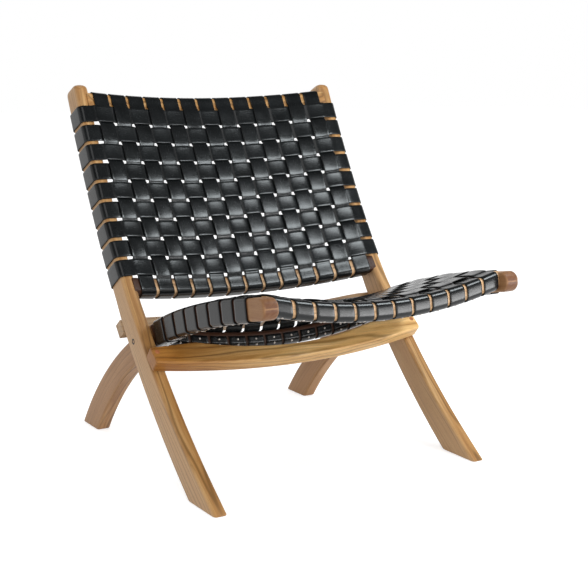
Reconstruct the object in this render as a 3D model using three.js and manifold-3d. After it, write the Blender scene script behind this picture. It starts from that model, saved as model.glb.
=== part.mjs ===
// A low lounge chair: woven leather straps on a folding crossed frame of teak.
// Millimetres, +Z up. +X is the right side for someone who faces the chair, and the front is at -Y.
// Names with left and right follow the same view. The origin is on the floor, under the middle of the chair.

import * as THREE from 'three';
import { mergeVertices } from 'three/addons/utils/BufferGeometryUtils.js';
import Module from 'manifold-3d';

const degree = Math.PI / 180;

// Overall width and the boards that set it
const chairWidth = 620;
const stileThickness = 28;
const boardChamfer = 5;
const jointGap = 0.35;
const cutOverrun = 2;

// Stiles: the front edge rises from the floor, straight, then bent, then bent a little less up to the end
const stileFootAngle = 37.1 * degree;
const stileFootLength = 62;
const stileBendLength = 612;
const stileBendAngle = 22.1 * degree;
const stileTopBend = 4.6 * degree;
const stileTopDepth = 52;
const stileFootDepth = 61;
const stileEndRadius = 16;
const footToe = 6;
const footTrim = 14;
const boardSteps = 24;
const topSteps = 6;
const endSteps = 4;

// Seat boards: the top edge falls from the front tip to the rear foot, in three bends
const seatTipAngle = 9.66 * degree;
const seatFrontLength = 295;
const seatFrontBend = 9.1 * degree;
const seatMiddleLength = 270;
const seatMiddleBend = 14.5 * degree;
const seatRearLength = 320;
const seatRearBend = 24.1 * degree;
const seatBoardThickness = 29;
const seatBoardTipDepth = 38;
const seatBoardPivotDepth = 46;
const seatBoardFootDepth = 65;
const seatTipRadius = 16;
const sideClearance = 4;

// Leather straps
const strapThickness = 2.5;
const backStrapWidth = 35.4;
const crossStrapWidth = 38.5;
const strapGap = 0.45;
const strapEdgeRoom = 0.7;
const strapEndInset = 5;

// Back panel: crosswise straps go round the stiles, lengthwise straps round the two back rails. It is built up
// from a place above the pivot, and the stiles end above it.
const backAbovePivot = 119.835;
const backDrop = 48;
const backRowSpace = 6.5;
const backRowCount = 9;
const backColumnSpace = 6.3;
const backColumnCount = 13;
const backSideRoom = 3.8;
const backTopRailRise = 28.5;
const backBottomRailRise = 33;
const backTopRailHeight = 45;
const backBottomRailHeight = 36;
const backRailDepth = 28;
const backRailBow = 36;
const backSlack = 8;

// Seat panel: crosswise straps go round the seat boards, lengthwise straps round the two seat rails
const seatFrontSpace = 6.5;
const seatRowSpace = 7.5;
const seatRowCount = 8;
const seatColumnSpace = 5.5;
const seatColumnCount = 12;
const seatFrontRailDepth = 28;
const seatRearRailDepth = 20;
const seatRearRailDrop = 12;
const seatRailHeight = 30;
const seatFrontRailSetback = 21.5;
const seatRearRailGap = 5.4;
const seatFrontSag = 31;
const seatRearSag = 29;
const seatSlack = 4;
const strapReturn = 19;

// Edges and tenons of the four scooped rails
const railChamfer = 6;
const tenonLength = 16;
const tenonThickness = 12;
const tenonShoulder = 6;

// Pivot: its place on the stiles, its place on the seat boards behind the rear rail, bolt, cap nut and spacer
const stilePivotAlong = 403.065;
const stilePivotDepth = 31.9428;
const seatPivotSpace = 13.4;
const seatPivotDepth = 24.8;
const boltRadius = 4;
const boltHeadRadius = 6;
const boltHeadLength = 5;
const boltHeadRecess = 0.6;
const boltSocketRadius = 2.6;
const boltSocketDepth = 2.6;
const nutRadius = 7;
const nutFlangeLength = 2.5;
const nutDomeRadius = 6;
const nutDomeLength = 5;
const spacerRadius = 12;
const roundSegments = 16;

// Apron: the front cross rail on the stiles' front edges
const apronBelowPivot = 44.065;
const apronStandoff = 26;
const apronTilt = 9 * degree;
const apronThickness = 30;
const apronEndHeight = 36;
const apronTopSag = 33;
const apronTopFlat = 95;
const apronBottomSag = 30;
const apronChamfer = 4;
const apronDowelInset = 10;
const apronDowelDrop = 13;
const apronDowelRadius = 5;
const apronDowelLength = 52;

// Stop rail: the rear cross rail on the stiles' rear edges
const stopAbovePivot = 32.435;
const stopHeight = 28;
const stopThickness = 30;
const stopSag = 12;
const stopEndFlat = 62;
const stopChamfer = 3;
const stopSeatRoom = 1;
const stopSeatReach = 84;
const pegRadius = 6;
const pegLength = 14;

// Sizes that follow from the ones above
const halfWidth = chairWidth / 2;
const stileInner = halfWidth - stileThickness;
const seatOuter = stileInner - sideClearance;
const seatInner = seatOuter - seatBoardThickness;
const backRowPitch = backStrapWidth + backRowSpace;
const backColumnPitch = (2 * (stileInner - backSideRoom)) / backColumnCount;
const backColumnWidth = backColumnPitch - backColumnSpace;
const seatRowPitch = crossStrapWidth + seatRowSpace;
const seatColumnPitch = (2 * seatInner) / seatColumnCount;
const seatColumnWidth = seatColumnPitch - seatColumnSpace;
const strapSeat = strapGap + strapThickness / 2;
const strapLayer = strapThickness + strapGap;
const backPanelBottom = stilePivotAlong + backAbovePivot;
const backPanelTop = backPanelBottom + backRowPitch * backRowCount;
const stileLength = backPanelTop + backDrop;
const stileTopLength = stileLength - stileFootLength - stileBendLength;
const topRailAlong = backPanelTop + backTopRailRise - backTopRailHeight / 2;
const bottomRailAlong = backPanelBottom - backBottomRailRise + backBottomRailHeight / 2;
const seatRowStart = seatFrontRailSetback + seatFrontRailDepth + seatFrontSpace;
const seatPanelEnd = seatRowStart + seatRowPitch * (seatRowCount - 1) + crossStrapWidth;
const frontRailAlong = seatFrontRailSetback + seatFrontRailDepth / 2;
const rearRailAlong = seatPanelEnd + seatRearRailGap + seatRearRailDepth / 2;
const seatPivotAlong = seatPanelEnd + seatRearRailGap + seatRearRailDepth + seatPivotSpace;
const seatLength = seatFrontLength + seatMiddleLength + seatRearLength;
const seatReach = seatLength + seatMiddleLength;
const apronAlong = stilePivotAlong - apronBelowPivot;
const stopAlong = stilePivotAlong + stopAbovePivot;

const wood = { name: 'teak', color: 0xb9824a, roughness: 0.6, metalness: 0 };
const tipWood = { name: 'teak_dark', color: 0x8a5a38, roughness: 0.55, metalness: 0 };
const leather = { name: 'black_leather', color: 0x25282a, roughness: 0.42, metalness: 0 };
const steel = { name: 'dark_steel', color: 0x3b3733, roughness: 0.4, metalness: 0.8 };

const manifold = await Module();
manifold.setup();

const chair = new THREE.Group();
chair.name = 'lounge_chair';

function addPiece(name, geometry, look) {
  const mesh = new THREE.Mesh(geometry, new THREE.MeshStandardMaterial(look));
  mesh.name = name;
  chair.add(mesh);
}

// Solids: a closed geometry becomes a solid for joining and cutting, and comes back as a geometry.
// Triangles that shrink to a line where the vertices are merged, as on a lathe's axis, are left out.
function toSolid(geometry) {
  const bare = geometry.clone();
  bare.deleteAttribute('normal');
  bare.deleteAttribute('uv');
  const merged = mergeVertices(bare);
  const corners = Array.from(merged.index.array);
  const triangles = [];
  for (let first = 0; first < corners.length; first += 3) {
    const triangle = corners.slice(first, first + 3);
    if (new Set(triangle).size === triangle.length) {
      triangles.push(...triangle);
    }
  }
  return new manifold.Manifold(new manifold.Mesh({
    numProp: 3,
    vertProperties: new Float32Array(merged.attributes.position.array),
    triVerts: new Uint32Array(triangles),
  }));
}

function toGeometry(solid) {
  const mesh = solid.getMesh();
  const geometry = new THREE.BufferGeometry();
  geometry.setAttribute('position', new THREE.BufferAttribute(mesh.vertProperties, 3));
  geometry.setIndex(new THREE.BufferAttribute(mesh.triVerts, 1));
  geometry.computeVertexNormals();
  return geometry;
}

function joined(geometry, ...others) {
  return toGeometry(others.reduce((solid, other) => solid.add(toSolid(other)), toSolid(geometry)));
}

function cut(geometry, ...cutters) {
  return toGeometry(cutters.reduce((solid, cutter) => solid.subtract(toSolid(cutter)), toSolid(geometry)));
}

// Side lines: a line in the side view, y and z, that starts with a heading and runs through stretches, each
// with a length and the angle that it turns by. The line is a function of the distance along it and of the
// depth behind it, and gives the point and the heading there.
function sideLine(start, heading, stretches) {
  return (along, depth = 0) => {
    let { y, z } = start;
    let angle = heading;
    let rest = along;
    stretches.forEach(({ length, turn }, index) => {
      const isLast = index === stretches.length - 1;
      const run = isLast ? rest : Math.min(rest, length);
      rest -= run;
      if (turn === 0) {
        y += run * Math.cos(angle);
        z += run * Math.sin(angle);
      } else {
        const radius = length / turn;
        const turned = angle + run / radius;
        y += radius * (Math.sin(turned) - Math.sin(angle));
        z += radius * (Math.cos(angle) - Math.cos(turned));
        angle = turned;
      }
    });
    return { y: y + depth * Math.sin(angle), z: z - depth * Math.cos(angle), angle };
  };
}

// Where a side line, at a depth behind it, crosses a height: the distance along it, by halving
function alongAtHeight(line, depthAt, height, from, to) {
  let low = from;
  let high = to;
  const rising = line(to, depthAt(to)).z > line(from, depthAt(from)).z;
  for (let turn = 0; turn < 40; turn += 1) {
    const middle = (low + high) / 2;
    const isBelow = line(middle, depthAt(middle)).z < height;
    if (isBelow === rising) {
      low = middle;
    } else {
      high = middle;
    }
  }
  return (low + high) / 2;
}

const stileLine = sideLine({ y: 0, z: 0 }, stileFootAngle, [
  { length: stileFootLength, turn: 0 },
  { length: stileBendLength, turn: stileBendAngle },
  { length: stileTopLength, turn: stileTopBend },
]);
const pivot = stileLine(stilePivotAlong, stilePivotDepth);

// The seat boards' line, placed so that the pivot's place on it falls on the pivot
const seatStretches = [
  { length: seatFrontLength, turn: -seatFrontBend },
  { length: seatMiddleLength, turn: -seatMiddleBend },
  { length: seatRearLength, turn: -seatRearBend },
];
const fromTip = sideLine({ y: 0, z: 0 }, -seatTipAngle, seatStretches)(seatPivotAlong, seatPivotDepth);
const seatTip = { y: pivot.y - fromTip.y, z: pivot.z - fromTip.z };
const seatLine = sideLine(seatTip, -seatTipAngle, seatStretches);

// Depths of the two kinds of board behind their lines
function stileDepth(along) {
  const share = Math.min(along / (stileFootLength + stileBendLength), 1);
  return THREE.MathUtils.lerp(stileFootDepth, stileTopDepth, share);
}

function seatDepth(along) {
  return along < seatPivotAlong
    ? THREE.MathUtils.mapLinear(along, 0, seatPivotAlong, seatBoardTipDepth, seatBoardPivotDepth)
    : THREE.MathUtils.mapLinear(along, seatPivotAlong, seatLength, seatBoardPivotDepth, seatBoardFootDepth);
}

// A frame on a side line: its origin, the direction along it and the direction behind it
function frameAt(line, along, depth = 0) {
  const { y, z, angle } = line(along, depth);
  return {
    origin: new THREE.Vector3(0, y, z),
    ahead: new THREE.Vector3(0, Math.cos(angle), Math.sin(angle)),
    behind: new THREE.Vector3(0, Math.sin(angle), -Math.cos(angle)),
  };
}

function placed(frame, x, ahead, behind) {
  const point = frame.origin.clone();
  point.x += x;
  return point.addScaledVector(frame.ahead, ahead).addScaledVector(frame.behind, behind);
}

const acrossX = new THREE.Vector3(1, 0, 0);
const alongY = new THREE.Vector3(0, 1, 0);
const alongZ = new THREE.Vector3(0, 0, 1);

// A shape given by points, made into a plate with chamfered edges. The plate is centred on its own plane.
function plate(points, thickness, chamfer) {
  const geometry = new THREE.ExtrudeGeometry(new THREE.Shape(points), {
    depth: thickness - 2 * chamfer,
    bevelEnabled: chamfer > 0,
    bevelThickness: chamfer,
    bevelSize: chamfer,
    bevelOffset: -chamfer,
    bevelSegments: 1,
    steps: 1,
  });
  return geometry.translate(0, 0, chamfer - thickness / 2);
}

// A board seen from the side: its outline is in y and z, and its thickness runs across the chair
function sideBoard(points, thickness, chamfer, x) {
  const turn = new THREE.Matrix4().makeBasis(alongY, alongZ, acrossX);
  return plate(points, thickness, chamfer).applyMatrix4(turn).translate(x, 0, 0);
}

// A box in a frame, from its limits across, ahead and behind
function boxIn(frame, [x0, x1], [ahead0, ahead1], [behind0, behind1]) {
  const box = new THREE.BoxGeometry(x1 - x0, behind1 - behind0, ahead1 - ahead0);
  box.translate((x0 + x1) / 2, (behind0 + behind1) / 2, (ahead0 + ahead1) / 2);
  const turn = new THREE.Matrix4().makeBasis(acrossX, frame.behind, frame.ahead);
  return box.applyMatrix4(turn.setPosition(frame.origin));
}

// A round bar across the chair, through a point of the side view
function barAcross(centre, radius, x0, x1) {
  const bar = new THREE.CylinderGeometry(radius, radius, x1 - x0, roundSegments);
  return bar.rotateZ(Math.PI / 2).translate((x0 + x1) / 2, centre.y, centre.z);
}

function toPoint({ y, z }) {
  return new THREE.Vector2(y, z);
}

// Rounded corner of a board's end, between a distance along the line and the line's two faces
function endCorner(line, end, depth, radius, direction, isBehind) {
  return Array.from({ length: endSteps + 1 }, (_, step) => {
    const angle = (step / endSteps) * (Math.PI / 2);
    const along = end - direction * radius * (1 - Math.sin(angle));
    const inset = radius * (1 - Math.cos(angle));
    return toPoint(line(along, isBehind ? depth - inset : inset));
  });
}

function stepsBetween(from, to, count) {
  return Array.from({ length: count + 1 }, (_, step) => THREE.MathUtils.lerp(from, to, step / count));
}

function edgePoints(line, depthAt, distances) {
  return distances.map((along) => toPoint(line(along, depthAt(along))));
}

const noDepth = () => 0;

// The boards' outlines run on below the floor, where the feet are then cut flat
function stileOutline() {
  const toe = alongAtHeight(stileLine, noDepth, footToe, 0, stileFootLength + stileBendLength);
  const heel = alongAtHeight(stileLine, stileDepth, -footTrim, 0, stileFootLength + stileBendLength);
  const bendEnd = stileFootLength + stileBendLength;
  const bent = [
    ...stepsBetween(stileFootLength, bendEnd, boardSteps),
    ...stepsBetween(bendEnd, stileLength - stileEndRadius, topSteps).slice(1, -1),
  ];
  const topDepth = stileDepth(stileLength);
  return [
    new THREE.Vector2(stileLine(toe).y, -footTrim),
    ...edgePoints(stileLine, noDepth, [toe, ...bent]),
    ...endCorner(stileLine, stileLength, topDepth, stileEndRadius, 1, false),
    ...endCorner(stileLine, stileLength, topDepth, stileEndRadius, 1, true).reverse(),
    ...edgePoints(stileLine, stileDepth, [heel, ...bent]).reverse(),
  ];
}

function seatBoardOutline() {
  const heel = alongAtHeight(seatLine, noDepth, footToe, seatPivotAlong, seatReach);
  const toe = alongAtHeight(seatLine, seatDepth, -footTrim, seatPivotAlong, seatReach);
  const tipDepth = seatDepth(0);
  return [
    ...endCorner(seatLine, 0, tipDepth, seatTipRadius, -1, false).reverse(),
    ...edgePoints(seatLine, noDepth, stepsBetween(seatTipRadius, heel, boardSteps).slice(1)),
    new THREE.Vector2(seatLine(heel).y, -footTrim),
    ...edgePoints(seatLine, seatDepth, stepsBetween(seatTipRadius, toe, boardSteps).slice(1)).reverse(),
    ...endCorner(seatLine, 0, tipDepth, seatTipRadius, -1, true),
  ];
}

// A scooped rail: straight in its own section, and bowed behind a frame by a parabola between the side boards
function bow(x, sag, halfSpan) {
  return sag * (1 - (x / halfSpan) ** 2);
}

function railStations(halfSpan, pitch, count) {
  const inner = Array.from({ length: count * 2 + 1 }, (_, index) => (pitch / 2) * (index - count));
  const end = halfSpan - jointGap;
  return [-end, ...inner.filter((x) => Math.abs(x) < end - railChamfer), end];
}

function scoopedRail(frame, { halfSpan, sag, height, depth, stations }) {
  const face = stations.map((x) => new THREE.Vector2(x, bow(x, sag, halfSpan)));
  const back = stations.map((x) => new THREE.Vector2(x, bow(x, sag, halfSpan) + depth)).reverse();
  const turn = new THREE.Matrix4().makeBasis(acrossX, frame.behind, frame.ahead).setPosition(frame.origin);
  const body = plate([...face, ...back], height, railChamfer).applyMatrix4(turn);
  const tenons = [-1, 1].map((side) => tenonBox(frame, side, halfSpan, height, 0));
  return joined(body, ...tenons);
}

// Tenon, or with a gap its mortise: it starts inside the rail and ends inside the side board
function tenonBox(frame, side, halfSpan, height, gap) {
  const near = halfSpan - (gap > 0 ? cutOverrun : tenonLength);
  const far = halfSpan + tenonLength + gap;
  const halfHeight = height / 2 - tenonShoulder + gap;
  return boxIn(
    frame,
    side > 0 ? [near, far] : [-far, -near],
    [-halfHeight, halfHeight],
    [tenonShoulder - gap, tenonShoulder + tenonThickness + gap],
  );
}

const topRailFrame = frameAt(stileLine, topRailAlong);
const bottomRailFrame = frameAt(stileLine, bottomRailAlong);
const frontRailFrame = frameAt(seatLine, frontRailAlong);
const rearRailFrame = frameAt(seatLine, rearRailAlong, seatRearRailDrop);
const backStations = railStations(stileInner, backColumnPitch, backColumnCount);
const seatStations = railStations(seatInner, seatColumnPitch, seatColumnCount);

const backRail = { halfSpan: stileInner, sag: backRailBow, depth: backRailDepth, stations: backStations };
const topBackRail = { ...backRail, height: backTopRailHeight };
const bottomBackRail = { ...backRail, height: backBottomRailHeight };
const seatRail = { halfSpan: seatInner, depth: seatRailHeight, stations: seatStations };
const frontSeatRail = { ...seatRail, sag: seatFrontSag, height: seatFrontRailDepth };
const rearSeatRail = { ...seatRail, sag: seatRearSag, height: seatRearRailDepth };

// Apron: its broad face leans forward from the stiles, and its edges are arcs that droop in the middle
const apronTop = stileLine(apronAlong, -apronStandoff);
const apronAngle = apronTop.angle - apronTilt;
const apronFrame = {
  origin: new THREE.Vector3(0, apronTop.y, apronTop.z),
  ahead: new THREE.Vector3(0, Math.sin(apronAngle), -Math.cos(apronAngle)),
  behind: new THREE.Vector3(0, -Math.cos(apronAngle), -Math.sin(apronAngle)),
};

function apronOutline() {
  const topSpan = halfWidth - apronTopFlat;
  const xs = stepsBetween(-halfWidth, halfWidth, boardSteps);
  const top = xs.map((x) => new THREE.Vector2(x, Math.abs(x) < topSpan ? bow(x, apronTopSag, topSpan) : 0));
  const bottom = xs.map((x) => new THREE.Vector2(x, apronEndHeight + bow(x, apronBottomSag, halfWidth)));
  return [...top, ...bottom.reverse()];
}

// The stretch of a stile near a cross rail, grown by the joint gap, that the rail is cut to
function stileSeat(side, from, to) {
  const steps = stepsBetween(from, to, endSteps);
  const front = steps.map((along) => toPoint(stileLine(along, -jointGap)));
  const rear = steps.map((along) => toPoint(stileLine(along, stileDepth(along) + jointGap))).reverse();
  const inner = stileInner - jointGap;
  const outer = halfWidth + cutOverrun;
  return sideBoard([...front, ...rear], outer - inner, 0, (side * (inner + outer)) / 2);
}

function dowelBar(side, radius, from, to) {
  const bar = new THREE.CylinderGeometry(radius, radius, to - from, roundSegments).rotateX(Math.PI / 2);
  bar.translate(side * (halfWidth - apronDowelInset), apronDowelDrop, (from + to) / 2);
  const turn = new THREE.Matrix4().makeBasis(acrossX, apronFrame.behind, apronFrame.ahead);
  return bar.applyMatrix4(turn.setPosition(apronFrame.origin));
}

function apronSolid() {
  const turn = new THREE.Matrix4().makeBasis(acrossX, apronFrame.behind, apronFrame.ahead);
  const board = plate(apronOutline(), apronThickness, apronChamfer).translate(0, 0, apronThickness / 2);
  const reach = apronEndHeight + apronBottomSag;
  return cut(
    board.applyMatrix4(turn.setPosition(apronFrame.origin)),
    ...[-1, 1].map((side) => stileSeat(side, apronAlong - reach, apronAlong + reach)),
    ...[-1, 1].map((side) => dowelBar(side, apronDowelRadius + jointGap, -cutOverrun, apronDowelLength)),
  );
}

// Stop rail: it lies on the stiles' rear edges, and the seat boards' top edges bear up against it when open
const stopMiddle = stopAlong + stopHeight / 2;
const stopFrame = frameAt(stileLine, stopMiddle);
const stopFace = stileDepth(stopMiddle) + jointGap;

function stopOutline() {
  const span = halfWidth - stopEndFlat;
  const xs = stepsBetween(-halfWidth, halfWidth, boardSteps);
  const droop = (x) => (Math.abs(x) < span ? bow(x, stopSag, span) : 0);
  const top = xs.map((x) => new THREE.Vector2(x, stopHeight / 2 - droop(x)));
  const bottom = xs.map((x) => new THREE.Vector2(x, -stopHeight / 2 - droop(x)));
  return [...bottom, ...top.reverse()];
}

function stopPeg(side, radius, from, to) {
  const bar = new THREE.CylinderGeometry(radius, radius, to - from, roundSegments);
  bar.translate(side * (halfWidth - stileThickness / 2), (from + to) / 2, 0);
  const turn = new THREE.Matrix4().makeBasis(acrossX, stopFrame.behind, stopFrame.ahead);
  return bar.applyMatrix4(turn.setPosition(stopFrame.origin));
}

// The stretch of a seat board near the stop rail, grown by the joint gap
function seatBoardSeat(side) {
  const from = seatPivotAlong - stopHeight;
  const to = seatPivotAlong + stopSeatReach;
  const steps = stepsBetween(from, to, endSteps);
  const top = steps.map((along) => toPoint(seatLine(along, -jointGap)));
  const bottom = steps.map((along) => toPoint(seatLine(along, seatDepth(along)))).reverse();
  const thickness = seatBoardThickness + 2 * stopSeatRoom;
  return sideBoard([...top, ...bottom], thickness, 0, (side * (seatInner + seatOuter)) / 2);
}

function stopSolid() {
  const turn = new THREE.Matrix4().makeBasis(acrossX, stopFrame.ahead, stopFrame.behind.clone().negate());
  const rail = plate(stopOutline(), stopThickness, stopChamfer);
  rail.applyMatrix4(turn.setPosition(placed(stopFrame, 0, 0, stopFace + stopThickness / 2)));
  const reach = stopHeight + stopSag;
  const seated = cut(
    rail,
    ...[-1, 1].map((side) => stileSeat(side, stopAlong - reach, stopAlong + stopHeight + reach)),
    ...[-1, 1].map(seatBoardSeat),
  );
  return joined(seated, ...[-1, 1].map((side) => (
    stopPeg(side, pegRadius, stopFace - pegLength, stopFace + stopThickness / 2)
  )));
}

function belowFloor() {
  return new THREE.BoxGeometry(2 * chairWidth, 2 * stileLength, 2 * footTrim).translate(0, 0, -footTrim);
}

function stileSolid(side) {
  const middle = side * (halfWidth - stileThickness / 2);
  const board = sideBoard(stileOutline(), stileThickness, boardChamfer, middle);
  const boltEnds = [side * (stileInner - cutOverrun), side * (halfWidth + cutOverrun)].sort((a, b) => a - b);
  const headEnds = [
    side * (halfWidth - boltHeadLength - boltHeadRecess - jointGap),
    side * (halfWidth + cutOverrun),
  ].sort((a, b) => a - b);
  return cut(
    board,
    belowFloor(),
    tenonBox(topRailFrame, side, stileInner, backTopRailHeight, jointGap),
    tenonBox(bottomRailFrame, side, stileInner, backBottomRailHeight, jointGap),
    barAcross(pivot, boltRadius + jointGap, ...boltEnds),
    barAcross(pivot, boltHeadRadius + jointGap, ...headEnds),
    dowelBar(side, apronDowelRadius + jointGap, -cutOverrun, apronDowelLength + jointGap),
    stopPeg(side, pegRadius + jointGap, stopFace - pegLength - jointGap, stopFace + cutOverrun),
  );
}

function seatBoardSolid(side) {
  const middle = side * (seatOuter - seatBoardThickness / 2);
  const board = sideBoard(seatBoardOutline(), seatBoardThickness, boardChamfer, middle);
  const boltEnds = [side * (seatInner - cutOverrun), side * (seatOuter + cutOverrun)].sort((a, b) => a - b);
  return cut(
    board,
    belowFloor(),
    tenonBox(frontRailFrame, side, seatInner, seatFrontRailDepth, jointGap),
    tenonBox(rearRailFrame, side, seatInner, seatRearRailDepth, jointGap),
    barAcross(pivot, boltRadius + jointGap, ...boltEnds),
  );
}

// Turned parts on the pivot: a profile of radius and distance along the bolt, from the stile's outer face in
function turnedOnPivot(side, profile) {
  const points = profile.map(([radius, inward]) => new THREE.Vector2(radius, inward));
  const part = new THREE.LatheGeometry([...points, points[0]], roundSegments);
  return part.rotateZ(side * (Math.PI / 2)).translate(side * halfWidth, pivot.y, pivot.z);
}

const nutFace = halfWidth - seatInner + jointGap;
const nutEnd = nutFace + nutFlangeLength + nutDomeLength;
const boltEnd = nutEnd - nutFlangeLength;

function boltSolid(side) {
  const body = turnedOnPivot(side, [
    [0, boltHeadRecess],
    [boltHeadRadius, boltHeadRecess],
    [boltHeadRadius, boltHeadRecess + boltHeadLength],
    [boltRadius, boltHeadRecess + boltHeadLength],
    [boltRadius, boltEnd],
    [0, boltEnd],
  ]);
  const length = boltSocketDepth + cutOverrun;
  const socket = new THREE.CylinderGeometry(boltSocketRadius, boltSocketRadius, length, 6);
  socket.rotateZ(Math.PI / 2);
  const middle = halfWidth - boltHeadRecess - boltSocketDepth + length / 2;
  return cut(body, socket.translate(side * middle, pivot.y, pivot.z));
}

function nutSolid(side) {
  const bore = boltRadius + jointGap;
  return turnedOnPivot(side, [
    [bore, nutFace],
    [nutRadius, nutFace],
    [nutRadius, nutFace + nutFlangeLength],
    [nutDomeRadius, nutFace + nutFlangeLength],
    [nutDomeRadius * Math.SQRT1_2, nutFace + nutFlangeLength + nutDomeLength * Math.SQRT1_2],
    [0, nutEnd],
    [0, boltEnd + jointGap],
    [bore, boltEnd + jointGap],
  ]);
}

function spacerSolid(side) {
  const bore = boltRadius + jointGap;
  return turnedOnPivot(side, [
    [bore, stileThickness + jointGap],
    [spacerRadius, stileThickness + jointGap],
    [spacerRadius, stileThickness + sideClearance - jointGap],
    [bore, stileThickness + sideClearance - jointGap],
  ]);
}

// Ribbon: a flat strap through stations, each with its middle point and the direction of its width.
// At each station the thickness lies on the mitre between the stretches that meet there.
function ribbon(stations, width, thickness) {
  const count = stations.length;
  const positions = [];
  stations.forEach(({ point, across }, index) => {
    const before = stations[Math.max(index - 1, 0)].point;
    const after = stations[Math.min(index + 1, count - 1)].point;
    const arriving = (index > 0 ? point.clone().sub(before) : after.clone().sub(point)).normalize();
    const leaving = (index < count - 1 ? after.clone().sub(point) : point.clone().sub(before)).normalize();
    const tangent = arriving.clone().add(leaving).normalize();
    const normal = tangent.clone().cross(across).normalize();
    const halfThickness = thickness / 2 / tangent.dot(leaving);
    [[-1, -1], [1, -1], [1, 1], [-1, 1]].forEach(([wide, thick]) => {
      const corner = point.clone().addScaledVector(across, (wide * width) / 2);
      positions.push(...corner.addScaledVector(normal, thick * halfThickness).toArray());
    });
  });
  const faces = [[0, 3, 2], [0, 2, 1]];
  for (let station = 0; station < count - 1; station += 1) {
    for (let corner = 0; corner < 4; corner += 1) {
      const a = station * 4 + corner;
      const b = station * 4 + ((corner + 1) % 4);
      faces.push([a, b, b + 4], [a, b + 4, a + 4]);
    }
  }
  const last = (count - 1) * 4;
  faces.push([last, last + 1, last + 2], [last, last + 2, last + 3]);
  const geometry = new THREE.BufferGeometry();
  geometry.setAttribute('position', new THREE.Float32BufferAttribute(positions, 3));
  geometry.setIndex(faces.flat());
  geometry.computeVertexNormals();
  return geometry;
}

// The way of a strap round a board's section, from its end behind the board to where it leaves the face.
// Places are given as a distance across the section, towards its outer face, and a depth behind its face.
// A strap with a return starts on the inner side; the others start behind the board, near its inner edge.
function wrapAround({ inner, outer, depth, leave, back = 0 }) {
  const out = Math.sign(outer - inner);
  const mitre = strapSeat * Math.tan(Math.PI / 8) - boardChamfer;
  const outerSide = outer + out * strapSeat;
  const innerSide = inner - out * strapSeat;
  const start = back > 0
    ? [
      [innerSide, depth - back],
      [innerSide, depth + mitre],
      [inner - out * mitre, depth + strapSeat],
    ]
    : [[inner + out * strapEndInset, depth + strapSeat]];
  return [
    ...start,
    [outer + out * mitre, depth + strapSeat],
    [outerSide, depth + mitre],
    [outerSide, -mitre],
    [outer + out * mitre, -strapSeat],
    [leave, -strapSeat],
  ];
}

// The woven surface: at a column, its slope across the chair, and a function that gives the point for a
// place on the strap there. The lift is measured square to the slope, and moves the point straight forward.
function facet(frame, x, sag, halfSpan) {
  const slope = (-2 * sag * x) / halfSpan ** 2;
  const length = Math.hypot(1, slope);
  const across = new THREE.Vector3(1 / length, 0, 0).addScaledVector(frame.behind, slope / length);
  const centre = placed(frame, x, 0, bow(x, sag, halfSpan));
  return {
    across,
    at: (side, ahead, lift) => centre.clone()
      .addScaledVector(across, side)
      .addScaledVector(frame.ahead, ahead)
      .addScaledVector(frame.behind, -lift * length),
  };
}

function weaveLift(isOver) {
  return isOver ? strapSeat + strapLayer : strapSeat;
}

// A woven panel: rows are straps across the chair, columns are straps along it
function weavePanel(panel) {
  const { line, rows, columns, rowWidth, columnWidth, halfSpan, sagAt, board, rails, names } = panel;
  const frames = rows.map((along) => frameAt(line, along));
  const rowIsOver = (row, column) => (row + column) % 2 === 0;
  const columnRoom = columnWidth / 2 + strapEdgeRoom;
  const rowRoom = rowWidth / 2 + strapEdgeRoom;

  rows.forEach((along, row) => {
    const frame = frames[row];
    const depth = panel.depthAt(along) + strapGap;
    const wrap = (side) => wrapAround({
      inner: side * board.inner,
      outer: side * board.outer,
      depth,
      leave: side * (Math.abs(columns[0]) + columnRoom + board.leave),
    }).map(([x, behind]) => ({ point: placed(frame, x, 0, behind), across: frame.ahead }));
    const woven = columns.flatMap((x, column) => {
      const { at } = facet(frame, x, sagAt(along), halfSpan);
      const lift = weaveLift(rowIsOver(row, column));
      return [-columnRoom, columnRoom].map((side) => ({ point: at(side, 0, lift), across: frame.ahead }));
    });
    const stations = [...wrap(-1), ...woven, ...wrap(1).reverse()];
    addPiece(names.row(row), ribbon(stations, rowWidth, strapThickness), leather);
  });

  columns.forEach((x, column) => {
    const wrap = ({ frame, along, sag, out, height, depth, leaveRow, span, back }) => {
      const { at, across } = facet(frame, x, sag, halfSpan);
      const leave = leaveRow - along + out * (rowRoom + span);
      return wrapAround({ inner: (-out * height) / 2, outer: (out * height) / 2, depth, leave, back })
        .map(([ahead, behind]) => ({ point: at(0, ahead, -behind), across }));
    };
    const woven = rows.flatMap((along, row) => {
      const { at, across } = facet(frames[row], x, sagAt(along), halfSpan);
      const lift = weaveLift(!rowIsOver(row, column));
      const order = rails.first.out > 0 ? [rowRoom, -rowRoom] : [-rowRoom, rowRoom];
      return order.map((ahead) => ({ point: at(0, ahead, lift), across }));
    });
    const stations = [...wrap(rails.first), ...woven, ...wrap(rails.second).reverse()];
    addPiece(names.column(column), ribbon(stations, columnWidth, strapThickness), leather);
  });
}

function evenly(count, place) {
  return Array.from({ length: count }, (_, index) => place(index));
}

function twoDigits(index) {
  return String(index + 1).padStart(2, '0');
}

const backRows = evenly(backRowCount, (row) => backPanelTop - backRowPitch * (row + 1 / 2));
const backMiddle = (backColumnCount - 1) / 2;
const backColumns = evenly(backColumnCount, (column) => backColumnPitch * (column - backMiddle));
const seatRows = evenly(seatRowCount, (row) => seatRowStart + crossStrapWidth / 2 + seatRowPitch * row);
const seatMiddle = (seatColumnCount - 1) / 2;
const seatColumns = evenly(seatColumnCount, (column) => seatColumnPitch * (column - seatMiddle));

function backSag(along) {
  const share = (along - bottomRailAlong) / (topRailAlong - bottomRailAlong);
  return backRailBow - backSlack * Math.sin(Math.PI * share);
}

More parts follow.
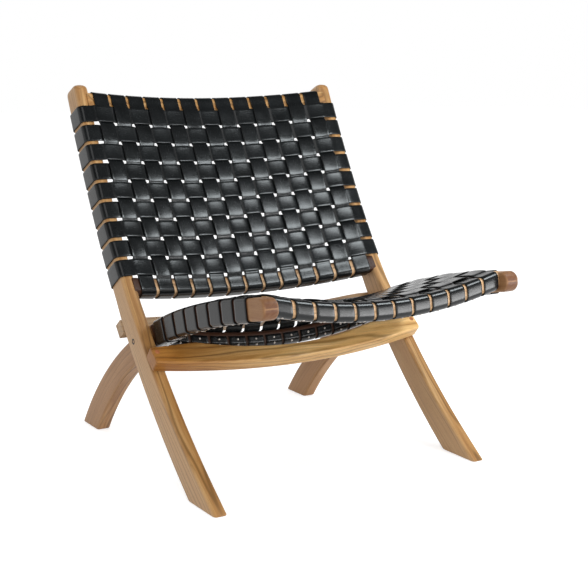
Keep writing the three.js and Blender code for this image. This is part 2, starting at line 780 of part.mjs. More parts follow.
function seatSag(along) {
  const share = (along - frontRailAlong) / (rearRailAlong - frontRailAlong);
  return THREE.MathUtils.lerp(seatFrontSag, seatRearSag, share) - seatSlack * Math.sin(Math.PI * share);
}

function addWood() {
  [['left', -1], ['right', 1]].forEach(([name, side]) => {
    addPiece(`stile_${name}`, stileSolid(side), wood);
    addPiece(`seat_board_${name}`, seatBoardSolid(side), tipWood);
    const dowel = dowelBar(side, apronDowelRadius, 0, apronDowelLength);
    addPiece(`apron_dowel_${name}`, toGeometry(toSolid(dowel)), tipWood);
  });
  addPiece('back_top_rail', scoopedRail(topRailFrame, topBackRail), wood);
  addPiece('back_bottom_rail', scoopedRail(bottomRailFrame, bottomBackRail), wood);
  addPiece('apron_rail', apronSolid(), wood);
  addPiece('stop_rail', stopSolid(), wood);
  addPiece('seat_front_rail', scoopedRail(frontRailFrame, frontSeatRail), wood);
  addPiece('seat_rear_rail', scoopedRail(rearRailFrame, rearSeatRail), wood);
}

function addPivots() {
  [['left', -1], ['right', 1]].forEach(([name, side]) => {
    addPiece(`pivot_bolt_${name}`, boltSolid(side), steel);
    addPiece(`cap_nut_${name}`, toGeometry(toSolid(nutSolid(side))), steel);
    addPiece(`spacer_${name}`, toGeometry(toSolid(spacerSolid(side))), steel);
  });
}

function addStraps() {
  const backSpan = backRowSpace - 2 * strapEdgeRoom;
  const seatSpan = seatRowSpace - 2 * strapEdgeRoom;
  weavePanel({
    line: stileLine,
    rows: backRows,
    columns: backColumns,
    rowWidth: backStrapWidth,
    columnWidth: backColumnWidth,
    halfSpan: stileInner,
    sagAt: backSag,
    depthAt: stileDepth,
    board: { inner: stileInner, outer: halfWidth, leave: backSpan },
    rails: {
      first: {
        frame: topRailFrame,
        along: topRailAlong,
        sag: backRailBow,
        out: 1,
        height: backTopRailHeight,
        depth: backRailDepth,
        leaveRow: backRows[0],
        span: backSpan,
      },
      second: {
        frame: bottomRailFrame,
        along: bottomRailAlong,
        sag: backRailBow,
        out: -1,
        height: backBottomRailHeight,
        depth: backRailDepth,
        leaveRow: backRows[backRowCount - 1],
        span: backSpan,
      },
    },
    names: {
      row: (row) => `back_strap_h${twoDigits(row)}`,
      column: (column) => `back_strap_v${twoDigits(column)}`,
    },
  });
  weavePanel({
    line: seatLine,
    rows: seatRows,
    columns: seatColumns,
    rowWidth: crossStrapWidth,
    columnWidth: seatColumnWidth,
    halfSpan: seatInner,
    sagAt: seatSag,
    depthAt: seatDepth,
    board: { inner: seatInner, outer: seatOuter, leave: boardChamfer },
    rails: {
      first: {
        frame: frontRailFrame,
        along: frontRailAlong,
        sag: seatFrontSag,
        out: -1,
        height: seatFrontRailDepth,
        depth: seatRailHeight,
        leaveRow: seatRows[0],
        span: seatSpan,
      },
      second: {
        frame: rearRailFrame,
        along: rearRailAlong,
        sag: seatRearSag,
        out: 1,
        height: seatRearRailDepth,
        depth: seatRailHeight,
        leaveRow: seatRows[seatRowCount - 1],
        span: seatRearRailGap + railChamfer - strapEdgeRoom,
        back: strapReturn,
      },
    },
    names: {
      row: (row) => `seat_strap_cross_${twoDigits(row)}`,
      column: (column) => `seat_strap_long_${twoDigits(column)}`,
    },
  });
}

addWood();
addPivots();
addStraps();

// The origin goes to the floor under the middle of the chair
const bounds = new THREE.Box3().setFromObject(chair);
const middle = bounds.getCenter(new THREE.Vector3());
chair.position.set(0, -middle.y, 0);

export default chair;
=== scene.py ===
# %% [markdown]
# # A woven leather lounge chair
#
# The chair has two parts that cross like scissors. The back frame is a pair of long curved boards, the stiles, with
# the back panel at the top and the front feet at the bottom. The seat frame is a second pair of boards, with the seat
# at the front and the rear feet at the back. Flat black straps are woven over both frames.
#
# The solid model gives every piece its place and size. Here each piece gets its fine shape and its finish. All
# lengths are metres, +Z is up, and the front of the chair looks along -Y.

import bmesh
import bpy
import numpy as np
from mathutils import Matrix, Vector


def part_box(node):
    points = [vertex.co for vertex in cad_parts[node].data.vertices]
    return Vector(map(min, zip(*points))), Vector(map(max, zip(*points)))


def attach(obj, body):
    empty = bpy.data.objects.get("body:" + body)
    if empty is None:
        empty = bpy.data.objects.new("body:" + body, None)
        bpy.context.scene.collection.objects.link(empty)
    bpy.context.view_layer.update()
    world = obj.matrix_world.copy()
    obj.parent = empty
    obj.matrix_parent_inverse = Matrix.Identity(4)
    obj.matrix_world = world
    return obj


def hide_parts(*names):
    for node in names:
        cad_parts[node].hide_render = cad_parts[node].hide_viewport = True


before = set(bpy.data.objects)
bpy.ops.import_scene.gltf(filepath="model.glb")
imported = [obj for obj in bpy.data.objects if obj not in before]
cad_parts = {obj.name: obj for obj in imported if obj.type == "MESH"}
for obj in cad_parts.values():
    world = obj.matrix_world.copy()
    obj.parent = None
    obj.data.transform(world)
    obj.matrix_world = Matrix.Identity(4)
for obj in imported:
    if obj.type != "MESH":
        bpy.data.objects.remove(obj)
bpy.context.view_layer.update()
mm = 0.001
degree = np.pi / 180

# %% [markdown]
# ## Side lines
#
# Seen from the side, each board follows a smooth line made of arcs. Everything else on the chair is placed by two
# numbers: how far along the line it is, and how deep behind it. The solid model has the same lines, so that the
# pieces meet.

# %% Lines of arcs


def side_line(start, heading, lengths, turns):
    """A line in the side view, made of stretches with lengths in millimetres and turns in degrees.
    On a stretch the heading grows evenly, so the line is an arc with radius = length / turn.
    The returned function gives y, z and heading at a distance along the line, with the point moved
    square to the line by depth: (y, z) + depth * (sin heading, -cos heading)."""
    stretches = [(length * mm, turn * degree) for length, turn in zip(lengths, turns)]

    def line(along, depth=0.0):
        rest = np.asarray(along, float)
        y, z, angle = start[0] + 0 * rest, start[1] + 0 * rest, heading + 0 * rest
        for length, turn in stretches[:-1]:
            run = np.minimum(rest, length)
            y, z, angle = arc(y, z, angle, run, length, turn)
            rest = rest - run
        y, z, angle = arc(y, z, angle, rest, *stretches[-1])
        return y + depth * np.sin(angle), z - depth * np.cos(angle), angle

    return line


def arc(y, z, angle, run, length, turn):
    """The end of a run on an arc: y grows by radius * (sin b - sin a) and z by radius * (cos a - cos b),
    where a and b are the headings before and after. A stretch that doesn't turn is straight."""
    if turn == 0:
        return y + run * np.cos(angle), z + run * np.sin(angle), angle
    radius = length / turn
    turned = angle + run / radius
    y = y + radius * (np.sin(turned) - np.sin(angle))
    return y, z + radius * (np.cos(angle) - np.cos(turned)), turned


# %% The two lines of the chair
stile_lengths, stile_turns, stile_heading = (62, 612, 274), (0, 22.1, 4.6), 37.1 * degree
seat_lengths, seat_turns, seat_heading = (295, 270, 320), (-9.1, -14.5, -24.1), -9.66 * degree
seat_start = (-100 * mm, 407 * mm)
stile_length, seat_length = sum(stile_lengths) * mm, sum(seat_lengths) * mm
bend_end = sum(stile_lengths[:2]) * mm
pivot_along, pivot_depth = 455.3 * mm, 24.8 * mm

# The solid model slides along Y, to put the origin under its middle, and its pivot bolt says how far.
bolt_low, bolt_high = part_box("pivot_bolt_left")
bolt_y, bolt_z = (bolt_low.y + bolt_high.y) / 2, (bolt_low.z + bolt_high.z) / 2
slide = bolt_y - side_line(seat_start, seat_heading, seat_lengths, seat_turns)(pivot_along, pivot_depth)[0]
stile_line = side_line((slide, 0), stile_heading, stile_lengths, stile_turns)
seat_line = side_line((seat_start[0] + slide, seat_start[1]), seat_heading, seat_lengths, seat_turns)
print("the lines slide by", round(float(slide), 5), "m")

# %% Depths and directions
stile_depths, seat_depths = (61, 52), (38, 46, 65)  # mm


def stile_depth(along):
    """Depth of a stile behind its line: it shrinks evenly from the foot to the end of the long bend."""
    share = np.minimum(along / bend_end, 1)
    return stile_depths[0] * mm + share * (stile_depths[1] - stile_depths[0]) * mm


def seat_depth(along):
    """Depth of a seat board behind its line: it grows evenly to the pivot, and then faster to the foot."""
    return np.interp(along, [0, pivot_along, seat_length], [depth * mm for depth in seat_depths])


def frames_at(line, along, depth=0.0):
    """Origin, direction ahead and direction behind at places on a side line, each as rows of x, y and z."""
    y, z, angle = line(along, depth)
    none = 0 * y
    origin = np.stack([none, y, z], -1)
    ahead = np.stack([none, np.cos(angle), np.sin(angle)], -1)
    behind = np.stack([none, np.sin(angle), -np.cos(angle)], -1)
    return origin, ahead, behind


print("the stiles are", stile_depths, "mm deep and the seat boards", seat_depths)

# %% [markdown]
# ## From a grid of points to a mesh
#
# Boards, rails and straps are all long things with a section, so one helper serves them all. A grid holds one row of
# points for each section. Its cells become faces, and both ends are closed. Numbers that the finishes need are stored
# on the points.

# %% Grid to mesh


def tube_faces(rows, around):
    """The four-sided faces between neighbouring sections, and one face over each end."""
    row, step = np.meshgrid(np.arange(rows - 1), np.arange(around), indexing="ij")
    here, next_row = row * around, (row + 1) * around
    after = (step + 1) % around
    quads = np.stack([here + step, here + after, next_row + after, next_row + step], -1)
    first = np.arange(around)[::-1]
    return quads.reshape(-1, 4), first, (rows - 1) * around + np.arange(around)


def enclosed_volume(points, quads):
    """Six times the volume: the sum over the faces of the box product of corners 0, 1, 2 and of 0, 2, 3."""
    a, b, c, d = (points[quads[:, k]] for k in range(4))
    return np.sum(a * np.cross(b, c)) + np.sum(a * np.cross(c, d))


def mesh_from_tubes(name, tubes, marks):
    """One mesh from a list of grids of points. Faces that point inwards are turned round.
    marks holds, for each attribute's name, its three numbers at every point of every grid."""
    vertices, faces, offset = [], [], 0
    for grid in tubes:
        rows, around = grid.shape[:2]
        points = grid.reshape(-1, 3)
        quads, first, last = tube_faces(rows, around)
        if enclosed_volume(points - points.mean(0), quads) < 0:
            quads, first, last = quads[:, ::-1], first[::-1], last[::-1]
        vertices.append(points)
        faces += (quads + offset).tolist() + [(first + offset).tolist(), (last + offset).tolist()]
        offset += len(points)
    mesh = bpy.data.meshes.new(name)
    mesh.from_pydata(np.concatenate(vertices), [], faces)
    for mark, values in marks.items():
        flat = np.concatenate([v.reshape(-1, 3) for v in values]).astype(np.float32)
        mesh.attributes.new(mark, "FLOAT_VECTOR", "POINT").data.foreach_set("vector", flat.ravel())
    mesh.shade_smooth()
    mesh.validate()
    return mesh


def add_object(name, data):
    """A new object in the scene, at the origin."""
    made = bpy.data.objects.new(name, data)
    bpy.context.scene.collection.objects.link(made)
    return made


def add_piece(name, tubes, marks, body, finish, nodes):
    """A finished piece: it rides on its body and stands for its solids."""
    piece = add_object(name, mesh_from_tubes(name, tubes, marks))
    piece.data.materials.append(finish)
    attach(piece, body)
    if nodes:
        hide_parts(*nodes)


# %% [markdown]
# ## Shader maths as expressions
#
# A finish mixes many small patterns. A small class wraps a node's output, so that adding or multiplying two patterns
# is written as in arithmetic, and each sign adds one Math node. Every other node comes from one method, which takes
# the node's type, its settings and its inputs.

# %% Terms


class Term:
    """One output in a finish. Arithmetic on it adds Math nodes."""

    def __init__(self, finish, socket):
        self.finish, self.socket = finish, socket

    def _math(self, operation, *values):
        return self.finish.node("Math", {"operation": operation}, dict(enumerate(values)))

    def __add__(self, other):
        return self._math("ADD", self, other)

    def __mul__(self, other):
        return self._math("MULTIPLY", self, other)

    __radd__, __rmul__ = __add__, __mul__

    def __sub__(self, other):
        return self._math("SUBTRACT", self, other)

    def __rsub__(self, other):
        return self._math("SUBTRACT", other, self)

    def __pow__(self, other):
        return self._math("POWER", self, other)

    def sine(self):
        return self._math("SINE", self)

    def between(self, low, high):
        """0 below low, 1 above high, and an S curve between them."""
        settings = {"interpolation_type": "SMOOTHSTEP"}
        return self.finish.node("MapRange", settings, {"Value": self, "From Min": low, "From Max": high})


# %% Finishes


class Finish:
    """A material under construction, or a world, which is built in the same way."""

    def __init__(self, name, blocks=bpy.data.materials, output="ShaderNodeOutputMaterial"):
        self.block, self.output = blocks.new(name), output
        self.block.use_nodes = True
        self.tree = self.block.node_tree
        self.tree.nodes.clear()

    def node(self, kind, settings, inputs, output=0):
        """Adds a node: its settings first, then values or links on its sockets. A ramp's stops are a setting."""
        made = self.tree.nodes.new("ShaderNode" + kind)
        for key, value in settings.items():
            if key == "stops":
                self.set_stops(made.color_ramp, value)
            else:
                setattr(made, key, value)
        for key, value in inputs.items():
            if isinstance(value, Term):
                self.tree.links.new(value.socket, made.inputs[key])
            else:
                made.inputs[key].default_value = value
        return Term(self, made.outputs[output])

    def set_stops(self, ramp, stops):
        while len(ramp.elements) < len(stops):
            ramp.elements.new(1.0)
        for element, (place, colour) in zip(ramp.elements, stops):
            element.position = place
            element.color = (*colour, 1)

    def mark(self, name):
        """The three numbers that a piece stores under a name, as a vector."""
        return self.node("Attribute", {"attribute_name": name}, {}, "Vector")

    def place(self):
        """The place on the object, in metres."""
        return self.node("TexCoord", {}, {}, "Object")

    def parts(self, vector):
        """The three numbers of a vector, one by one."""
        split = self.node("SeparateXYZ", {}, {0: vector}).socket.node
        return [Term(self, socket) for socket in split.outputs]

    def noise(self, vector, scale, detail=2, distortion=0.0):
        """Soft noise between 0 and 1. scale says how many lumps it has per unit of each number of the vector."""
        stretched = self.node("VectorMath", {"operation": "MULTIPLY"}, {0: vector, 1: scale})
        inputs = {"Vector": stretched, "Scale": 1.0, "Detail": detail, "Distortion": distortion}
        return self.node("TexNoise", {}, inputs)

    def ramp(self, value, stops):
        return self.node("ValToRGB", {"stops": stops}, {"Fac": value})

    def mixed(self, factor, colour, other, blend="MIX"):
        """A colour mixed with a plain one. The Mix node has colours on its sockets 6 and 7 and on its output 2."""
        settings = {"data_type": "RGBA", "blend_type": blend}
        return self.node("Mix", settings, {0: factor, 6: colour, 7: (*other, 1)}, 2)

    def bumped(self, height, distance, strength):
        return self.node("Bump", {}, {"Height": height, "Distance": distance, "Strength": strength})

    def seen(self):
        """1 for a ray from the camera, off a glossy surface or through a clear one, and 0 for light that spreads."""
        kinds = ("Camera", "Glossy", "Transmission")
        camera, glossy, clear = (self.node("LightPath", {}, {}, f"Is {kind} Ray") for kind in kinds)
        return camera + glossy + clear

    def shader(self, **inputs):
        """A Principled shader. An underscore in a name stands for a space."""
        named = {key.replace("_", " "): value for key, value in inputs.items()}
        return self.node("BsdfPrincipled", {}, named)

    def shown(self, shader):
        """Ends the finish with a shader."""
        result = self.tree.nodes.new(self.output)
        self.tree.links.new(shader.socket, result.inputs["Surface"])
        return self.block

    def done(self, **inputs):
        return self.shown(self.shader(**inputs))


# %% [markdown]
# ## Teak
#
# The frame is oiled teak, with long streaks, darker growth lines and short fine pores. Each board stores how far
# along, across and deep every point is, and that vector is stretched along the grain before it goes into the noise,
# so that the streaks follow the board's curve. The broad sides are a little paler than the narrow faces, partly the
# tone of the sawn faces and partly painted light. The ends are darker and redder. Next to the straps the wood is
# nearly black, partly dyed by them and partly painted shade in the gaps, and the apron is browner towards its left
# end, partly its own tone and partly a painted shadow of the seat.

# %% Teak finish
# Near black for wood dyed by the straps and for painted shade in the gaps between them.
dye_and_shade_colour, brown_tone_and_shade = (0.03, 0.009, 0.005), (0.5, 0.34, 0.16)
line_shade, pore_shade = 0.36, 0.3


def teak(name, pale, middle, deep, end_colour, side_tone_and_light=(0.62, 0.4, 0.225)):
    """Streaks from deep to pale, with layers mixed over them one by one."""
    finish = Finish(name)
    grain = finish.mark("grain")
    along, across, depth = finish.parts(grain)
    side, end, edge = finish.parts(finish.mark("zone"))
    dye_and_shade, darker, _ = finish.parts(finish.mark("stain"))
    streaks = finish.noise(grain, (5, 90, 90), 4, 0.4)
    waves = finish.noise(grain, (2.4, 17, 17))
    rings = (across * 260 + depth * 640 + waves * 34 + along * 3).sine() * 0.5 + 0.5
    fine_rings = (across * 700 + depth * 1500 + waves * 70 + along * 8).sine() * 0.5 + 0.5
    growth = rings**7 * waves.between(0.3, 0.6) + fine_rings**4 * streaks.between(0.42, 0.62) * 0.45
    fibres = finish.noise(grain, (45, 1900, 1900))
    pores = finish.noise(grain, (160, 2600, 2600), 1).between(0.64, 0.72)
    patches = finish.noise(grain, (7, 24, 24)).between(0.55, 0.75)
    rubbed = finish.noise(finish.place(), (55, 55, 55)).between(0.42, 0.7)
    tone = streaks * 1.05 + fibres * 0.3 - 0.17
    colour = finish.ramp(tone, [(0.25, deep), (0.5, middle), (0.72, pale)])
    # The broad sides are paler: partly the sawn faces' own tone, partly painted light.
    colour = finish.mixed(side * 0.62, colour, side_tone_and_light)
    colour = finish.mixed(growth * (0.62 - side * 0.3), colour, [c * line_shade for c in deep])
    colour = finish.mixed(pores * 0.4, colour, [c * pore_shade for c in deep])
    colour = finish.mixed(patches * 0.28, colour, deep)
    colour = finish.mixed(edge * rubbed * 0.25, colour, pale)
    # Browner wood: on the apron partly its own tone and partly a painted shadow of the seat; next to the straps
    # painted shade.
    colour = finish.mixed(darker, colour, brown_tone_and_shade, "MULTIPLY")
    colour = finish.mixed(end * 0.88, colour, end_colour)
    # Near black beside the straps: dyed by them, and painted shade in the gaps between them.
    colour = finish.mixed(dye_and_shade * 0.93, colour, dye_and_shade_colour)
    roughness = 0.4 + fibres * 0.16 + pores * 0.15 - edge * 0.05
    normal = finish.bumped(fibres * 0.5 - pores * 0.8 - growth * 0.25, 0.12 * mm, 0.55)
    gloss = {"IOR": 1.38, "Coat_Weight": 0.08, "Coat_Roughness": 0.3}
    return finish.done(Base_Color=colour, Roughness=roughness, Normal=normal, **gloss)


# %% Five teaks
# A name, the colours pale, middle, deep and end, and for two of them the colour of the broad sides, which holds
# painted light as well as their tone.
woods = [
    ("frame teak", (0.53, 0.32, 0.135), (0.41, 0.21, 0.066), (0.25, 0.108, 0.026), (0.34, 0.16, 0.055)),
    ("apron teak", (0.84, 0.56, 0.25), (0.7, 0.42, 0.15), (0.38, 0.17, 0.035), (0.36, 0.15, 0.04)),
    ("rail teak", (0.74, 0.5, 0.3), (0.62, 0.38, 0.19), (0.46, 0.24, 0.1), (0.3, 0.14, 0.05)),
    ("seat board teak", (0.5, 0.285, 0.13), (0.4, 0.205, 0.082), (0.26, 0.115, 0.038), (0.09, 0.026, 0.01),
     (0.4, 0.21, 0.09)),
    ("plug teak", (0.46, 0.17, 0.06), (0.38, 0.13, 0.045), (0.28, 0.085, 0.03), (0.2, 0.06, 0.03),
     (0.38, 0.13, 0.045)),
]
frame_teak, apron_teak, rail_teak, seat_teak, plug_teak = (teak(*wood) for wood in woods)
print("frame teak has", len(frame_teak.node_tree.nodes), "nodes")

# %% [markdown]
# ## Black strap leather
#
# The straps are cut from thick leather, dyed black and waxed. It has a very fine pebbled grain and faint long
# creases, and it shines softly. The cut edges are dull, so a second shader takes over there. The colour stays nearly
# flat, so the work goes into roughness and bump.

# %% Leather finish


def strap_leather():
    """Waxed leather on the faces, mixed with a dull shader where the strap is cut."""
    finish = Finish("black strap leather")
    strip = finish.mark("strip")
    bend, edge, shade = finish.parts(finish.mark("zone"))
    place = finish.place()
    pebble_inputs = {"Vector": place, "Scale": 1100.0, "Smoothness": 0.6}
    pebbles = finish.node("TexVoronoi", {"feature": "SMOOTH_F1"}, pebble_inputs)
    clouds = finish.noise(place, (42, 42, 42), 3)
    creases = finish.noise(strip, (28, 520, 1), 3, 0.3)
    scuffs = finish.noise(strip, (120, 900, 1)).between(0.62, 0.75)
    tone = clouds * 0.6 + shade * 0.4
    colour = finish.ramp(tone, [(0.25, (0.0036, 0.0043, 0.0046)), (0.75, (0.0076, 0.0088, 0.0095))])
    colour = finish.mixed(edge * 0.7, colour, (0.006, 0.005, 0.0048))
    colour = finish.mixed(scuffs * bend * 0.2, colour, (0.04, 0.04, 0.04))
    roughness = 0.16 + clouds * 0.14 + scuffs * 0.08 + edge * 0.2
    normal = finish.bumped(pebbles * 0.5 + creases * 0.5 + clouds * 1.2, 0.1 * mm, 0.5)
    face = finish.shader(Base_Color=colour, Roughness=roughness, Normal=normal, IOR=1.4)
    cut = finish.shader(Base_Color=(0.008, 0.0075, 0.007, 1), Roughness=0.9, Specular_IOR_Level=0.0)
    return finish.shown(finish.node("MixShader", {}, {0: edge * 0.9, 1: face, 2: cut}))


black_leather = strap_leather()
print(black_leather.name, "has", len(black_leather.node_tree.nodes), "nodes")

# %% [markdown]
# ## Metal
#
# The pivots are darkened steel with fine turning marks. The tacks that hold the ends of the straps are bright, with
# a low domed head.

# %% Metal finishes


def metal(name, dark, light, rough):
    """Stains from dark to light, crossed by fine turning marks."""
    finish = Finish(name)
    place = finish.place()
    marks = finish.noise(place, (300, 2600, 2600))
    stains = finish.noise(place, (260, 260, 260), 3)
    colour = finish.ramp(stains * 0.8 + marks * 0.2, [(0.3, dark), (0.7, light)])
    roughness = rough + stains * 0.2 + marks * 0.08
    normal = finish.bumped(marks, 0.05 * mm, 0.4)
    return finish.done(Base_Color=colour, Roughness=roughness, Metallic=1.0, Normal=normal)


dark_steel = metal("darkened steel", (0.03, 0.026, 0.024), (0.09, 0.08, 0.07), 0.35)
bright_steel = metal("bright tack steel", (0.36, 0.32, 0.29), (0.52, 0.48, 0.44), 0.22)
print("metals:", dark_steel.name, "and", bright_steel.name)

# %% [markdown]
# ## Boards
#
# A board is a rounded rectangle carried along its line. Near a free end the rectangle shrinks along a quarter circle,
# which rounds the end. At a foot, each edge of the section runs on to the floor, so the foot is cut flat by it.

# %% Rounded sections
corner_steps, end_steps, halvings = 6, 8, 40
corner_turn = np.linspace(0, np.pi / 2, corner_steps + 1)
corner_signs = np.repeat([[1, 1], [-1, 1], [-1, -1], [1, -1]], corner_steps + 1, axis=0)
corner_angle = np.concatenate([corner_turn + quarter * np.pi / 2 for quarter in range(4)])
corner_unit = np.stack([np.cos(corner_angle), np.sin(corner_angle)], -1)


def rounded_section(half_wide, half_deep, radius):
    """Points round a rectangle with round corners, for each row of half sizes:
    point = sign * (half - radius) + radius * unit, with the radius held under both half sizes."""
    radius = np.minimum(radius, np.minimum(half_wide, half_deep))[:, None]
    wide = corner_signs[:, 0] * (half_wide[:, None] - radius) + radius * corner_unit[:, 0]
    deep = corner_signs[:, 1] * (half_deep[:, None] - radius) + radius * corner_unit[:, 1]
    return wide, deep


def section_zones(like):
    """How far the section faces sideways, |cos|^3, and how near it is to the middle of a corner, (2 |cos sin|)^2,
    for each row of an array."""
    side = np.abs(corner_unit[:, 0]) ** 3 + 0 * like
    return side, (2 * np.abs(corner_unit[:, 0] * corner_unit[:, 1])) ** 2 + 0 * like


def end_inset(distance, radius):
    """How far a surface has drawn in at a distance from its end: radius - sqrt(radius^2 - (radius - distance)^2)."""
    inside = np.clip(radius - distance, 0, radius)
    return radius - np.sqrt(radius**2 - inside**2)


def rows_with_round_ends(length, first_radius, last_radius, step):
    """Distances along a piece: close together where an end is round, and a step apart between."""
    turn = np.linspace(0, np.pi / 2, end_steps)
    first = first_radius * (1 - np.cos(turn))
    last = length - last_radius * (1 - np.sin(turn))
    count = int((length - first_radius - last_radius) / step)
    between = np.linspace(first_radius, length - last_radius, count + 1)[1:-1]
    return np.concatenate([first, between, last])


def at_floor(line, depth, low, high):
    """Where a point at a depth behind the line meets the floor, by halving the stretch from low to high."""
    low, high = np.full_like(depth, low), np.full_like(depth, high)
    rising = line(high, depth)[1] > line(low, depth)[1]
    for _ in range(halvings):
        middle = (low + high) / 2
        below = line(middle, depth)[1] < 0
        low, high = np.where(below == rising, middle, low), np.where(below == rising, high, middle)
    return middle


print("a section has", len(corner_unit), "points")

# %% Side boards
board_step, board_edge, foot_edge = 6 * mm, 5 * mm, 4 * mm
soft_from, soft_run = 425 * mm, 40 * mm
# The stretch of the seat boards dyed by the straps and painted with shade in the gaps between them.
dye_and_shade_from, dye_and_shade_to, dye_and_shade_fade = 52 * mm, 432 * mm, 5 * mm
foot_mark, tip_mark = 1.5 * mm, 40 * mm


def stain_and_shade_mark(dye_and_shade, darker):
    """For each point, how much the wood is dyed by the straps and darkened by painted shade, and how much browner it
    is, partly its own tone and partly painted shade.
    """
    return [np.stack([dye_and_shade, darker, darker], -1)]


def side_board(line, length, depth_at, thickness, x, tip, tip_at_start, foot_range, soft):
    """A curved board with one free end and one foot. tip holds the radii of the free end seen from the side and
    from the front. Each point's distance along is stretched so that the foot end lies on the floor. Past the
    pivot the edges are rounder by soft. The grain starts at another place for each x."""
    radii = (tip[0], foot_edge) if tip_at_start else (foot_edge, tip[0])
    run = rows_with_round_ends(length, *radii, board_step)
    from_tip = run if tip_at_start else length - run
    from_foot = length - from_tip
    side_inset = end_inset(from_tip, tip[1]) + end_inset(from_foot, foot_edge)
    deep_inset = end_inset(from_tip, tip[0]) + end_inset(from_foot, foot_edge)
    edge_radius = board_edge + soft * np.clip((run - soft_from) / soft_run, 0, 1)
    along = np.repeat(run[:, None], len(corner_signs), axis=1)
    for _ in range(3):
        board_depth = depth_at(along)
        half_deep = board_depth.mean(1) / 2 - deep_inset
        wide, deep = rounded_section(thickness / 2 - side_inset, half_deep, edge_radius)
        depth = board_depth / 2 + deep * (board_depth / board_depth.mean(1)[:, None])
        meets = at_floor(line, depth, *foot_range)
        along = run[:, None] * meets / length if tip_at_start else meets + run[:, None] * (1 - meets / length)
    y, z, _ = line(along, depth)
    grid = np.stack([x + wide, y, z], -1)
    side, edge = section_zones(along)
    tip_fade = 1.6 * tip[0]
    ends = (1 - side) * (end_inset(from_tip, tip_fade)[:, None] / tip_fade) ** 0.35
    ends = ends + np.maximum(0, 1 - from_foot[:, None] / foot_mark)
    ends += 0.4 * tip_at_start * side * np.clip(2 - from_tip[:, None] / tip_mark, 0, 1)
    grain = np.stack([along + 3 * x, wide + 7 * x, depth], -1)
    # Between the wraps of the seat boards: dyed by the straps, and painted shade in the gaps.
    dye_and_shade = np.clip((along - dye_and_shade_from) / dye_and_shade_fade, 0, 1) * tip_at_start * (along < dye_and_shade_to)
    return grid, {"grain": [grain], "zone": [np.stack([side, ends, edge], -1)], "stain": stain_and_shade_mark(dye_and_shade, dye_and_shade)}


# %% The four boards
half_width, stile_thickness, seat_thickness, side_gap = 310 * mm, 28 * mm, 29 * mm, 4 * mm
stile_inner = half_width - stile_thickness
seat_outer = stile_inner - side_gap
seat_inner = seat_outer - seat_thickness
stile_tip, seat_tip = (16 * mm, 10 * mm), (17 * mm, 3 * mm)
stile_feet, seat_feet = (0, bend_end), (pivot_along, seat_length + 20 * mm)
stile_board = (stile_line, stile_length, stile_depth, stile_thickness)
seat_board = (seat_line, seat_length, seat_depth, seat_thickness)
sides = (("left", -1), ("right", 1))
for side_name, side_sign in sides:
    x = side_sign * (half_width - stile_thickness / 2)
    grid, marks = side_board(*stile_board, x, stile_tip, False, stile_feet, 3 * mm)
    node = f"stile_{side_name}"
    add_piece(f"stile_board_{side_name}", [grid], marks, "back_frame", frame_teak, [node])
    x = side_sign * (seat_outer - seat_thickness / 2)
    grid, marks = side_board(*seat_board, x, seat_tip, True, seat_feet, 0)
    node = f"seat_board_{side_name}"
    add_piece(f"seat_side_board_{side_name}", [grid], marks, "seat_frame", seat_teak, [node])
    print("boards", side_name, grid.shape)

# %% [markdown]
# ## Cross rails
#
# The rails that carry the straps are scooped: their face falls back in the middle along a parabola. The apron is a
# plank with curved edges. Each is a rounded rectangle carried across the chair, so one function makes them all from
# where their four faces lie.

# %% Rails
rail_step, rail_radius, tenon = 7 * mm, 9 * mm, 7 * mm


def bow(x, sag, half_span):
    """A parabola that is sag at the middle and 0 at half_span."""
    return sag * (1 - (x / half_span) ** 2)


def cross_rail(origin, up, back, half_span, limits, end_radius, edge_radius):
    """A rail across the chair. limits gives, for places x, the lowest and highest place along up, and the nearest
    and farthest place along back. Points: origin + x * X + up * (middle + wide) + back * (middle + deep)."""
    x = rows_with_round_ends(2 * half_span, end_radius, end_radius, rail_step) - half_span
    low, high, near, far = (limit + 0 * x for limit in limits(x))
    inset = end_inset(half_span - np.abs(x), end_radius)
    wide, deep = rounded_section((high - low) / 2 - inset, (far - near) / 2 - inset, edge_radius)
    rise = (low + high)[:, None] / 2 + wide
    reach = (near + far)[:, None] / 2 + deep
    grid = origin + rise[..., None] * up + reach[..., None] * back
    grid[..., 0] += x[:, None]
    face, edge = section_zones(wide)
    ends = np.clip(inset[:, None] / end_radius, 0, 1) + 0 * wide
    shift = origin[1] * 5
    grain = np.stack([x[:, None] + 0 * wide + shift, rise, reach + shift], -1)
    return grid, grain, np.stack([face * 0.35, ends * 0.6, edge], -1)


def scooped_rail(name, node, body, wood, place, half_span, sag, height, thickness, dye_and_shade_above=1.0, dye_and_shade_past=1.0):
    """A rail that carries straps. Above a height in its own section, and past a place towards its ends, it is nearly
    black: partly dyed by the straps and partly painted shade. A whole metre stands for nowhere."""
    origin, up, back = place

    def limits(x):
        near = bow(x, sag, half_span)
        return -height / 2, height / 2, near, near + thickness

    grid, grain, zone = cross_rail(origin, up, back, half_span + tenon, limits, 1 * mm, rail_radius)
    # Near black where the straps dyed the rail, and painted shade in its gaps.
    dye_and_shade = np.clip((grain[..., 1] - dye_and_shade_above) / (6 * mm), 0, 1)
    dye_and_shade = np.maximum(dye_and_shade, np.clip((np.abs(grid[..., 0]) - dye_and_shade_past) / (4 * mm), 0, 1))
    marks = {"grain": [grain], "zone": [zone], "stain": stain_and_shade_mark(dye_and_shade, dye_and_shade)}
    add_piece(name, [grid], marks, body, wood, [node])


